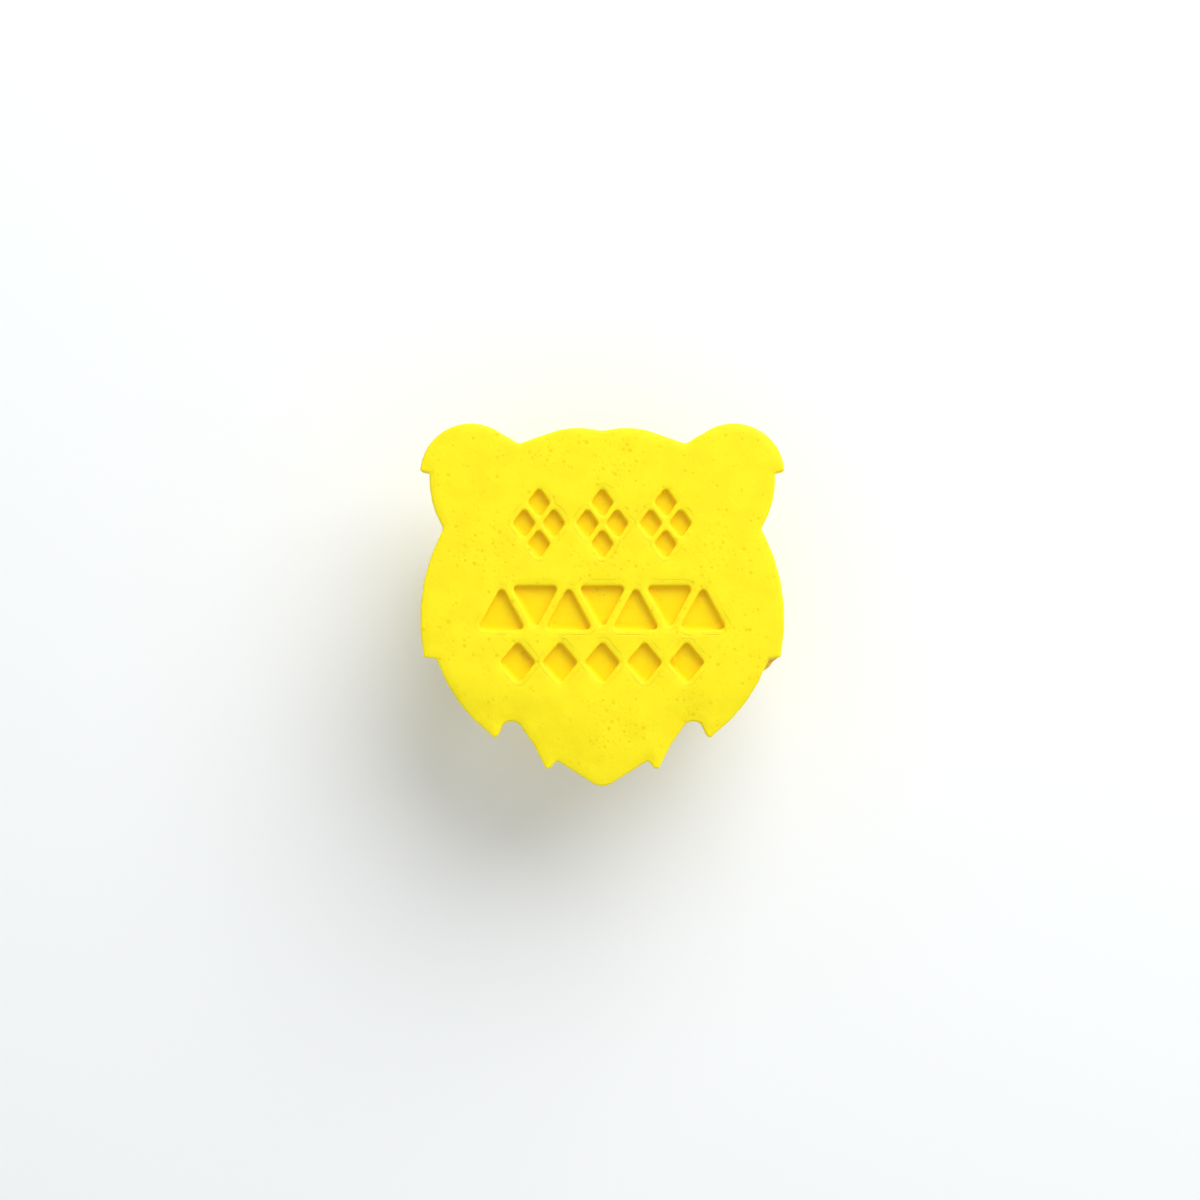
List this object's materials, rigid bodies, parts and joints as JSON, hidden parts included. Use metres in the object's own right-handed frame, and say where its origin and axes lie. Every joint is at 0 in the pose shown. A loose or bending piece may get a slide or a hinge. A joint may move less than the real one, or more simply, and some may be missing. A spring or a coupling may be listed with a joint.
{
  "type": "neckerchief slide",
  "caption": "Flat animal-head plate with rows of shallow recesses and a flat-backed band behind it that holds a rolled scarf.",
  "frame": {"origin": "middle of the plate's outline seen from the front, at the flat back of the band that the slide rests on", "axes": "+Z out of the plate's face, +Y towards the top of the head and along the scarf, +X to the viewer's right"},
  "size_m": [0.038, 0.0378, 0.0214],
  "materials": {
    "plate_plastic": "bright yellow printed plastic, satin",
    "loop_plastic": "bright yellow printed plastic, satin, with layer lines"
  },
  "bodies": {
    "root": {"head_plate": "plate_plastic", "scarf_loop": "loop_plastic"}
  },
  "joints": []
}
